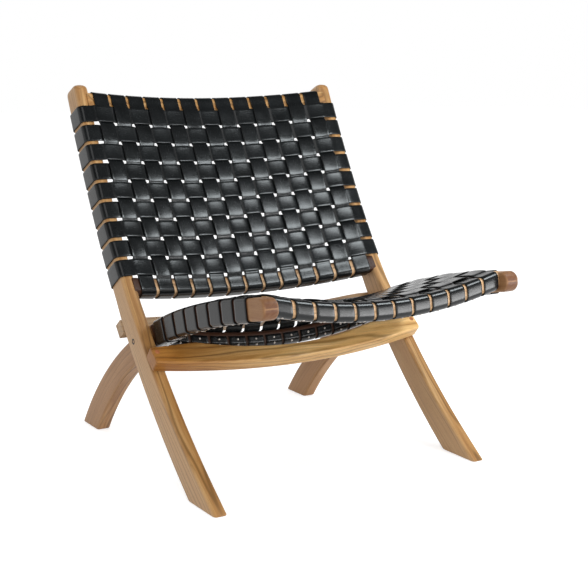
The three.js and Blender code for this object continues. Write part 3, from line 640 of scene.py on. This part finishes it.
# %% Places of the rails
back_sag, front_sag, rear_sag = 36, 31, 29  # mm
top_height, bottom_height, front_height, rear_height = 45 * mm, 36 * mm, 28 * mm, 20 * mm
back_thickness, seat_rail_thickness = 28 * mm, 30 * mm
back_top, back_row_pitch, back_row_count = stile_length - 48 * mm, 41.9 * mm, 9
back_bottom = back_top - back_row_pitch * back_row_count
seat_row_start, seat_row_pitch, seat_row_count, cross_width = 56 * mm, 46 * mm, 8, 38.5 * mm
seat_end = seat_row_start + seat_row_pitch * (seat_row_count - 1) + cross_width
top_along = back_top + 28.5 * mm - top_height / 2
bottom_along = back_bottom - 33 * mm + bottom_height / 2
front_along, rear_along = 35.5 * mm, seat_end + 15.4 * mm
top_place, bottom_place = frames_at(stile_line, top_along), frames_at(stile_line, bottom_along)
front_place, rear_place = frames_at(seat_line, front_along), frames_at(seat_line, rear_along, 12 * mm)
back_rail = {"half_span": stile_inner, "sag": back_sag * mm, "thickness": back_thickness}
seat_rail = {"half_span": seat_inner, "thickness": seat_rail_thickness}

# %% The four scooped rails
scooped_rail(
    "back_rail_top", "back_top_rail", "back_frame", frame_teak, top_place, height=top_height, **back_rail
)
# The bottom rail gets painted shade along its upper edge and at its ends beside the stiles, partly dyed by the
# straps.
scooped_rail(
    "back_rail_bottom", "back_bottom_rail", "back_frame", rail_teak, bottom_place,
    height=bottom_height, dye_and_shade_above=8 * mm, dye_and_shade_past=268 * mm, **back_rail,
)
scooped_rail(
    "seat_rail_front", "seat_front_rail", "seat_frame", rail_teak, front_place,
    sag=front_sag * mm, height=front_height, **seat_rail,
)
# The rear rail is near black all over: painted shade under the seat, partly dyed by the straps.
scooped_rail(
    "seat_rail_rear", "seat_rear_rail", "seat_frame", rail_teak, rear_place,
    sag=rear_sag * mm, height=rear_height, dye_and_shade_above=-rear_height, **seat_rail,
)
print("rails at", [round(along, 4) for along in (top_along, bottom_along, front_along, rear_along)], "m")

# %% The apron
apron_along, apron_ahead, apron_tilt = 359 * mm, 26 * mm, 9 * degree
apron_height, apron_thickness = 36 * mm, 30 * mm
top_span, top_hollow, bottom_belly = 215 * mm, 33 * mm, 30 * mm
# Where the apron turns browner towards the left: partly its own tone, partly a painted shadow of the seat's left tip.
darker_from, darker_run = -40 * mm, 220 * mm
apron_y, apron_z, apron_heading = stile_line(apron_along, -apron_ahead)
apron_lean = apron_heading - apron_tilt
apron_origin = np.array([0, apron_y, apron_z])
apron_up = np.array([0, np.cos(apron_lean), np.sin(apron_lean)])
apron_back = np.array([0, np.sin(apron_lean), -np.cos(apron_lean)])


def apron_limits(x):
    """The lower edge is a parabola over the whole width. The upper edge is straight near the ends, and a parabola
    between them."""
    top = -np.where(np.abs(x) < top_span, bow(x, top_hollow, top_span), 0)
    return -apron_height - bow(x, bottom_belly, half_width), top, 0, apron_thickness


grid, grain, zone = cross_rail(apron_origin, apron_up, apron_back, half_width, apron_limits, 3 * mm, 4.5 * mm)
# Browner towards the left end: partly the plank's own tone, partly a painted shadow of the seat's left tip.
darker = np.clip((darker_from - grid[..., 0]) / darker_run, 0, 1)
marks = {"grain": [grain], "zone": [zone], "stain": stain_and_shade_mark(0 * darker, darker)}
add_piece("apron_plank", [grid], marks, "back_frame", apron_teak, ["apron_rail"])
print("apron", grid.shape)

# %% [markdown]
# ## Straps
#
# A strap starts behind a board, goes round its edge, passes over and under the straps of the other direction, and
# ends behind the opposite board. Its middle line is a chain of straight stretches, and a quadratic spline that
# touches the middle of each stretch rounds the corners. So every crossing becomes a low cushion.

# %% The way of a strap
strap_gap, strap_room = 0.45 * mm, 2.5 * mm
strap_seat, strap_layer = strap_gap + strap_room / 2, strap_room + strap_gap
strap_tail, way_step, most_steps = 5 * mm, 3 * mm, 9


def wrap_way(inner, outer, depth, leave, radius, back=0.0):
    """The way round a board's section, as places across it and behind its face. Each corner is a quarter circle
    about the centre of the board's round edge. With back, the way starts on the inner side and passes three."""
    out = np.sign(outer - inner)
    turn = np.linspace(0, np.pi / 2, 6)
    sine, cosine = np.sin(turn), np.cos(turn)
    reach = radius + strap_seat
    outer_centre = outer - out * radius
    inner_centre = inner + out * radius
    way = []
    if back > 0:
        way.append([[inner - out * strap_seat, depth - back]])
        way.append(np.stack([inner_centre - out * reach * cosine, depth - radius + reach * sine], -1))
    else:
        way.append([[inner + out * strap_tail, depth + strap_seat]])
    way.append(np.stack([outer_centre + out * reach * sine, depth - radius + reach * cosine], -1))
    way.append(np.stack([outer_centre + out * reach * cosine, radius - reach * sine], -1))
    way.append([[leave, -strap_seat]])
    return np.concatenate(way)


def smooth_way(corners):
    """A quadratic spline: from the middle of one stretch to the middle of the next it is
    (1 - t)^2 a + 2 t (1 - t) b + t^2 c, where b is the corner between the middles a and c."""
    middles = (corners[1:] + corners[:-1]) / 2
    lengths = np.linalg.norm(middles[1:, :3] - middles[:-1, :3], axis=1)
    splits = np.clip(np.ceil(lengths / way_step), 1, most_steps).astype(int)
    corner = np.repeat(np.arange(len(splits)), splits)
    first = np.repeat(np.cumsum(splits) - splits, splits)
    t = ((np.arange(len(corner)) - first) / splits[corner])[:, None]
    bent = (1 - t) ** 2 * middles[corner] + 2 * t * (1 - t) * corners[1:-1][corner] + t**2 * middles[corner + 1]
    return np.concatenate([corners[:1], bent, middles[-1:], corners[-1:]])


# %% The section of a strap
leather_thickness, curl = 2.2 * mm, 0.9 * mm
flat_points = 8


def unit(vectors):
    """Each row of an array, with its length made 1."""
    return vectors / np.linalg.norm(vectors, axis=1, keepdims=True)


def strap(corners, width, shade, outward):
    """A strip of leather along its way. Each row of corners is a point, the direction of the strap's width and the
    lift of the weave there. Where the strap arches over another one, its edges lift:
    rise = curl * share over * (place across / half width)^2."""
    way = smooth_way(corners)
    points, across, lift = way[:, :3], unit(way[:, 3:6]), way[:, 6]
    normal = unit(outward * np.cross(unit(np.gradient(points, axis=0)), across))
    half_flat, half_thick = (width - leather_thickness) / 2, leather_thickness / 2
    turn = np.linspace(-np.pi / 2, np.pi / 2, 5)
    flat = np.linspace(-1, 1, flat_points + 2)[1:-1] * half_flat
    round_edge = half_flat + np.cos(turn) * half_thick
    wide = np.concatenate([round_edge, flat[::-1], -round_edge, flat])
    face = np.ones(flat_points)
    thick = np.concatenate([np.sin(turn), face, -np.sin(turn), -face]) * half_thick
    over = np.clip((lift - strap_seat) / strap_layer, 0, 1)
    rise = curl * over[:, None] * (2 * wide / width) ** 2
    grid = points[:, None] + wide[:, None] * across[:, None] + (thick + rise)[..., None] * normal[:, None]
    steps = np.linalg.norm(np.diff(points, axis=0), axis=1)
    run = np.concatenate([[0], np.cumsum(steps)])
    strip = np.stack(np.broadcast_arrays(run[:, None], wide, 0.0), -1) + shade
    bends = np.abs(np.gradient(np.gradient(lift)))
    rim = np.clip((np.abs(wide) - width / 2 + half_thick) / half_thick, 0, 1)
    zone = np.stack(np.broadcast_arrays((bends / bends.max())[:, None], rim, shade), -1)
    return grid, strip, zone, (points, normal, run)


# %% [markdown]
# ## Weaving
#
# A panel is a list of rows and a list of columns. The row passes over where the two numbers add up to an even number.
# The panel is bowed, so the woven surface has a slope at each column, and the straps lie flat on that slope.

# %% Corners of the straps
edge_room = 0.7 * mm
chance = np.random.default_rng(7)
X = np.array([1.0, 0.0, 0.0])


def weave_lift(is_over):
    """The height of a strap's middle over the woven surface, with the lower layer or the upper one."""
    return strap_seat + strap_layer * is_over


def slope_at(x, sag, half_span):
    """The surface falls by 2 * sag * x / half_span^2 for each unit of x, and a unit on it is this much longer."""
    slope = -2 * sag * x / half_span**2
    return slope, np.hypot(1, slope)


def row_corners(place, columns, room, half_span, sag, wraps, over):
    """Corners of a crosswise strap, from left to right: a wrap, two corners for each column, and a wrap."""
    origin, ahead, behind = place
    slope, length = slope_at(columns, sag, half_span)
    lift = weave_lift(over)
    side = np.array([-room, room])
    x = columns[:, None] + side / length[:, None]
    deep = bow(columns, sag, half_span)[:, None] + side * (slope / length)[:, None] - (lift * length)[:, None]
    woven = np.stack([x.ravel(), deep.ravel(), np.repeat(lift, 2)], -1)
    left, right = (np.column_stack([wrap, np.full(len(wrap), strap_seat)]) for wrap in wraps)
    flat = np.concatenate([left, woven, right[::-1]])
    points = origin + flat[:, :1] * X + flat[:, 1:2] * behind
    return np.column_stack([points, np.broadcast_to(ahead, points.shape), flat[:, 2]])


def column_corners(x, places, room, half_span, sags, wraps, over, out):
    """Corners of a lengthwise strap, from the first rail to the second: a wrap, two corners for each row, a wrap."""
    origin, ahead, behind = places
    slope, length = slope_at(x, sags, half_span)
    lift = weave_lift(over)
    centre = origin + x * X + (bow(x, sags, half_span) - lift * length)[:, None] * behind
    wide = (X + slope[:, None] * behind) / length[:, None]
    steps = np.array([room, -room]) * out
    woven = centre[:, None] + steps[:, None] * ahead[:, None]
    woven = np.column_stack([woven.reshape(-1, 3), np.repeat(wide, 2, axis=0), np.repeat(lift, 2)])
    ends = []
    for place, sag, way in wraps:
        slope_end, length_end = slope_at(x, sag, half_span)
        deep = bow(x, sag, half_span) + way[:, 1] * length_end
        points = place[0] + x * X + way[:, :1] * place[1] + deep[:, None] * place[2]
        across = np.broadcast_to((X + slope_end * place[2]) / length_end, points.shape)
        ends.append(np.column_stack([points, across, np.full(len(way), strap_seat)]))
    return np.concatenate([ends[0], woven, ends[1][::-1]])


strap_ends = {"back_frame": [], "seat_frame": []}


def add_strap(name, node, body, corners, width, outward):
    """A strap with a shade of its own. Its line is kept for the tacks."""
    grid, strip, zone, ends = strap(corners, width, chance.random(), outward)
    add_piece(name, [grid], {"strip": [strip], "zone": [zone]}, body, black_leather, [node])
    strap_ends[body].append(ends)


def weave(part, solids, board, rows, columns, sags, widths, gap, radius, column_wraps, out):
    """The straps of a panel, first its rows and then its columns. solids and widths hold the start of the solids'
    names and the width, for rows and for columns. out is 1 where the rows come against the line, and else -1."""
    body, (line, depth_at, inner, outer) = f"{part}_frame", board
    row_room, column_room = (width / 2 + edge_room for width in widths)
    leave = np.abs(columns[0]) + column_room + gap
    for row, (along, sag) in enumerate(zip(rows, sags)):
        depth = float(depth_at(along)) + strap_gap
        wraps = [wrap_way(s * inner, s * outer, depth, s * leave, radius) for s in (-1, 1)]
        over = (row + np.arange(len(columns))) % 2 == 0
        corners = row_corners(frames_at(line, along), columns, column_room, inner, sag, wraps, over)
        add_strap(f"{part}_cross_strap_{row + 1:02d}", f"{solids[0]}{row + 1:02d}", body, corners, widths[0], 1)
    for column, x in enumerate(columns):
        over = (np.arange(len(rows)) + column) % 2 == 1
        corners = column_corners(x, frames_at(line, rows), row_room, inner, sags, column_wraps, over, out)
        names = f"{part}_long_strap_{column + 1:02d}", f"{solids[1]}{column + 1:02d}"
        add_strap(*names, body, corners, widths[1], out)
    print(part, "straps:", len(strap_ends[body]))


# %% The back panel
back_widths, back_wrap_radius, back_flatter = (35.4 * mm, 36.5 * mm), 8 * mm, 8 * mm
back_column_pitch, back_column_count = 42.8 * mm, 13
back_rows = back_top - back_row_pitch * (np.arange(back_row_count) + 0.5)
back_columns = back_column_pitch * (np.arange(back_column_count) - (back_column_count - 1) / 2)
back_share = (back_rows - bottom_along) / (top_along - bottom_along)
back_sags = back_sag * mm - back_flatter * np.sin(np.pi * back_share)
row_room = back_widths[0] / 2 + edge_room
back_gap = back_row_pitch - 2 * row_room
top_leave = back_rows[0] - top_along + row_room + back_gap
bottom_leave = back_rows[-1] - bottom_along - row_room - back_gap
top_way = wrap_way(-top_height / 2, top_height / 2, back_thickness, top_leave, rail_radius)
bottom_way = wrap_way(bottom_height / 2, -bottom_height / 2, back_thickness, bottom_leave, rail_radius)
column_wraps = [(top_place, back_sag * mm, top_way), (bottom_place, back_sag * mm, bottom_way)]
weave(
    "back", ("back_strap_h", "back_strap_v"), (stile_line, stile_depth, stile_inner, half_width),
    back_rows, back_columns, back_sags, back_widths, back_gap, back_wrap_radius, column_wraps, 1,
)

# %% The seat panel
seat_column_count, seat_widths = 12, (cross_width, 36 * mm)
seat_wrap_radius, seat_flatter, wrap_gap = 5 * mm, 4 * mm, 5 * mm
rear_lead, rear_tail = (5.4 + 6 - 0.7) * mm, 19 * mm
seat_rows = seat_row_start + cross_width / 2 + seat_row_pitch * np.arange(seat_row_count)
seat_column_pitch = 2 * seat_inner / seat_column_count
seat_columns = seat_column_pitch * (np.arange(seat_column_count) - (seat_column_count - 1) / 2)
seat_share = (seat_rows - front_along) / (rear_along - front_along)
seat_sags = front_sag * mm + seat_share * (rear_sag - front_sag) * mm - seat_flatter * np.sin(np.pi * seat_share)
row_room = cross_width / 2 + edge_room
seat_gap = seat_row_pitch - cross_width - 2 * edge_room
front_leave = seat_rows[0] - front_along - row_room - seat_gap
rear_leave = seat_rows[-1] - rear_along + row_room + rear_lead
front_way = wrap_way(front_height / 2, -front_height / 2, seat_rail_thickness, front_leave, rail_radius)
rear_way = wrap_way(-rear_height / 2, rear_height / 2, seat_rail_thickness, rear_leave, rail_radius, rear_tail)
column_wraps = [(front_place, front_sag * mm, front_way), (rear_place, rear_sag * mm, rear_way)]
weave(
    "seat", ("seat_strap_cross_", "seat_strap_long_"), (seat_line, seat_depth, seat_inner, seat_outer),
    seat_rows, seat_columns, seat_sags, seat_widths, wrap_gap, seat_wrap_radius, column_wraps, -1,
)

# %% [markdown]
# ## Tacks, bolts and plugs
#
# Small round things are turned: a profile is carried round an axis. Two tacks hold each end of a strap, the bolts of
# the fold show as dark dots on the stiles, and the pins of the apron end in plugs of darker wood.

# %% Turned pieces


def turned(profile, centre, axis, around):
    """A profile of (radius, height) carried round an axis: centre + axis * height + radius * direction."""
    axis = axis / np.linalg.norm(axis)
    helper = np.array([0.0, 0.0, 1.0]) if abs(axis[2]) < 0.9 else X
    first = np.cross(axis, helper)
    first /= np.linalg.norm(first)
    second = np.cross(axis, first)
    angle = np.linspace(0, 2 * np.pi, around, endpoint=False)
    direction = np.cos(angle)[:, None] * first + np.sin(angle)[:, None] * second
    radius, height = np.array(profile).T
    return centre + height[:, None, None] * axis + radius[:, None, None] * direction


def dome(radius, height, steps):
    """A low dome: radius * cos t and height * sin t, from the rim nearly to the top."""
    turn = np.linspace(0, 0.96 * np.pi / 2, steps)
    return np.stack([radius * np.cos(turn), height * np.sin(turn)], -1)


# %% Tacks
tack_radius, tack_height, tack_sunk = 2.4 * mm, 0.9 * mm, 0.3 * mm
tack_reaches = np.array([6, 17]) * mm
tack_profile = np.concatenate([[[tack_radius, -tack_sunk]], dome(tack_radius, tack_height, 4)])


def tack_grids(ends):
    """Two tacks at each end of each strap, on the side that faces away from the wood."""
    grids = []
    for points, normal, run in ends:
        for reach in (*tack_reaches, *(run[-1] - tack_reaches)):
            at, outward = (np.array([np.interp(reach, run, v) for v in rows.T]) for rows in (points, normal))
            grids.append(turned(tack_profile, at + outward * leather_thickness / 2, outward, 10))
    return grids


for body, ends in strap_ends.items():
    grids = tack_grids(ends)
    add_piece(f"{body}_tacks", grids, {}, body, bright_steel, [])
    print(body, "has", len(grids), "tacks")

# %% Profiles of the pivots and plugs, in millimetres
bolt_profile = [
    (0.1, 2.2), (2.6, 2.2), (2.8, -0.1), (3.2, -0.45), (5.0, -0.45), (5.9, 0.0),
    (6.0, 0.6), (6.0, 5.0), (4.0, 5.1), (4.0, 60.0),
]
nut_profile = [(4.2, 0), (7, 0), (7, 2.2), (6.6, 2.5), (6, 2.5), (5.8, 4.4), (4.9, 6.2), (3.2, 7.2), (0.2, 7.5)]
washer_profile = [(4.4, 28.4), (11.6, 28.4), (12, 28.8), (12, 31.2), (11.6, 31.6), (4.4, 31.6)]
plug_profile = [(4.98, 6.0), (4.98, 0.1), (4.7, -0.25), (3.4, -0.4), (0.2, -0.45)]
plug_drop, plug_inset = 13, 10
print("the bolts are", bolt_profile[-1][1], "mm long")

# %% Pivots and plugs
pivot = np.array([0, bolt_y, bolt_z])
nut_face = half_width - seat_inner + 0.35 * mm
turned_metal = [
    ("pivot_bolt_turned", "pivot_bolt", bolt_profile, 0.0),
    ("cap_nut_turned", "cap_nut", nut_profile, nut_face),
    ("washer", "spacer", washer_profile, 0.0),
]
for side_name, side_sign in sides:
    inward, outer_face = -side_sign * X, pivot + side_sign * half_width * X
    for name, node, profile, start in turned_metal:
        grid = turned(np.array(profile) * mm, outer_face + inward * start, inward, 40)
        solids = [f"{node}_{side_name}"]
        add_piece(f"{name}_{side_name}", [grid], {}, "back_frame", dark_steel, solids)
    plug_centre = apron_origin - apron_up * plug_drop * mm + side_sign * (half_width - plug_inset * mm) * X
    plug = turned(np.array(plug_profile) * mm, plug_centre, apron_back, 32)
    marks = {"grain": [(plug - plug_centre)[..., [1, 0, 2]]], "zone": [0 * plug], "stain": [0 * plug]}
    solids = [f"apron_dowel_{side_name}"]
    add_piece(f"apron_plug_{side_name}", [plug], marks, "back_frame", plug_teak, solids)
    print("pivot and plug", side_name)

# %% [markdown]
# ## The stop rail
#
# The rear cross rail is cut to fit round the stiles and over the seat boards, and its solid already has the right
# shape. So a copy of it gets a bevel on its sharp edges, and a teak that takes its grain from the place on the rail.

# %% Stop rail finish


def crosswise_teak():
    """Teak whose grain runs across the chair, along X."""
    finish = Finish("crosswise teak")
    place = finish.place()
    streaks = finish.noise(place, (5, 70, 70), 3, 0.4)
    waves = finish.noise(place, (2.2, 14, 14))
    fibres = finish.noise(place, (45, 1900, 1900))
    _, y, z = finish.parts(place)
    growth = ((y * 300 + z * 560 + waves * 26).sine() * 0.5 + 0.5) ** 5 * waves.between(0.35, 0.7)
    deep, middle, pale, line = (0.28, 0.155, 0.065), (0.4, 0.245, 0.12), (0.52, 0.355, 0.2), (0.11, 0.05, 0.02)
    tone = streaks * 0.85 + fibres * 0.3 - 0.08
    colour = finish.ramp(tone, [(0.28, deep), (0.5, middle), (0.72, pale)])
    colour = finish.mixed(growth * 0.5, colour, line)
    roughness = 0.42 + fibres * 0.16
    normal = finish.bumped(fibres * 0.5 - growth * 0.25, 0.12 * mm, 0.55)
    return finish.done(Base_Color=colour, Roughness=roughness, Normal=normal, Coat_Weight=0.12, Coat_Roughness=0.3)


# %% Stop rail
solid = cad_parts["stop_rail"]
shape = bmesh.new()
shape.from_mesh(solid.data)
shape.transform(solid.matrix_world)
bmesh.ops.dissolve_limit(shape, angle_limit=1 * degree, verts=shape.verts, edges=shape.edges)
planed = bpy.data.meshes.new("stop_rail_planed")
shape.to_mesh(planed)
shape.free()
planed.shade_smooth()
planed.materials.append(crosswise_teak())
stop_rail = add_object("stop_rail_planed", planed)
rounding = stop_rail.modifiers.new("rounding", "BEVEL")
rounding.limit_method, rounding.angle_limit = "ANGLE", 30 * degree
rounding.width, rounding.segments, rounding.harden_normals = 1.2 * mm, 3, True
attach(stop_rail, "back_frame")
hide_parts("stop_rail")
print("stop rail has", len(planed.polygons), "faces before its bevel")

# %% [markdown]
# ## Floor, light and camera
#
# A broad lamp stands high on the left, two low ones in front light the apron under the seat, and a soft one stands
# behind. A small lamp near the seat gives the lower rows of the back their sheen. The walls look white to the camera
# and to reflections, and the ceiling is dark, so that the black leather stays black.

# %% Floor
floor_reach, white = 12.0, (1, 1, 1, 1)


def paper_floor():
    """Grey enough to throw little light back up, and lifted to white for the camera and for reflections."""
    finish = Finish("pale floor")
    fibre = finish.noise(finish.place(), (30, 30, 30), 3)
    colour = finish.ramp(fibre, [(0.3, (0.6, 0.6, 0.6)), (0.7, (0.63, 0.63, 0.63))])
    return finish.done(
        Base_Color=colour, Roughness=0.95, Emission_Color=white, Emission_Strength=finish.seen() * 0.66
    )


floor_x, floor_y = np.meshgrid(*[np.linspace(-floor_reach, floor_reach, 3)] * 2)
floor_points = np.stack([floor_x.ravel(), floor_y.ravel(), 0 * floor_x.ravel()], -1)
floor_mesh = bpy.data.meshes.new("floor")
floor_mesh.from_pydata(floor_points, [], [(0, 1, 4, 3), (1, 2, 5, 4), (3, 4, 7, 6), (4, 5, 8, 7)])
floor = add_object("floor", floor_mesh)
floor_mesh.materials.append(paper_floor())
print("the floor is", 2 * floor_reach, "m wide")

# %% World
ceiling_from, ceiling_to, ceiling_loss, room_light = 0.3, 0.56, 0.9, 0.7
studio = Finish("studio", bpy.data.worlds, "ShaderNodeOutputWorld")
rise = studio.parts(studio.node("TexCoord", {}, {}, "Generated"))[2]
wall = 1.0 - rise.between(ceiling_from, ceiling_to) * ceiling_loss
seen = studio.seen()
strength = wall * seen + room_light * (1.0 - seen)
background = studio.node("Background", {}, {"Color": white, "Strength": strength})
bpy.context.scene.world = studio.shown(background)
print("the world has", len(studio.tree.nodes), "nodes")

# %% Lamps


def add_lamp(name, place, target, size, power, colour=(1, 1, 1)):
    """A soft rectangular lamp that looks at a target. size is its width and height."""
    data = bpy.data.lights.new(name, "AREA")
    data.shape, data.size, data.size_y, data.energy, data.color = "RECTANGLE", *size, power, colour
    lamp = add_object(name, data)
    lamp.location = place
    lamp.rotation_euler = (Vector(target) - Vector(place)).to_track_quat("-Z", "Y").to_euler()
    print(name, "lamp,", power, "W")


add_lamp("key", (-0.9, -1.9, 2.9), (0, 0, 0.35), (1.6, 1.6), 14)
add_lamp("sheen", (0.58, -0.61, 1.15), (0.08, 0.15, 0.4), (0.36, 0.3), 5.8, (0.9, 0.97, 1.0))
add_lamp("front", (1.7, -2.2, 0.38), (0, 0, 0.28), (1.3, 0.55), 28)
add_lamp("fill", (-0.9, -2.8, 0.7), (0, 0, 0.3), (1.4, 0.8), 19)
add_lamp("rear", (0.6, 2.6, 2.0), (0, 0, 0.45), (1.6, 1.6), 12)

# %% Camera
azimuth, elevation, roll = -0.576491, 0.196623, 0.017063
eye = Vector((-1.30405, -1.76939 + slide, 0.80548))
photo_width, focal_length = 588, 1231.71  # pixels
backward = Vector((np.sin(azimuth) * np.cos(elevation), -np.cos(azimuth) * np.cos(elevation), np.sin(elevation)))
level = (-backward).cross(Vector((0, 0, 1))).normalized()
upward = level.cross(-backward)
right = np.cos(roll) * level + np.sin(roll) * upward
top = -np.sin(roll) * level + np.cos(roll) * upward
turn = Matrix((right, top, backward)).transposed().to_4x4()
camera_data = bpy.data.cameras.new("camera")
camera_data.sensor_width, camera_data.clip_end = 36, 60
camera_data.lens = 36 * focal_length / photo_width
camera = add_object("camera", camera_data)
camera.matrix_world = Matrix.Translation(eye) @ turn
bpy.context.scene.camera = camera
bpy.context.scene.view_settings.view_transform = "Standard"
print("the camera's lens is", round(camera_data.lens, 2), "mm")
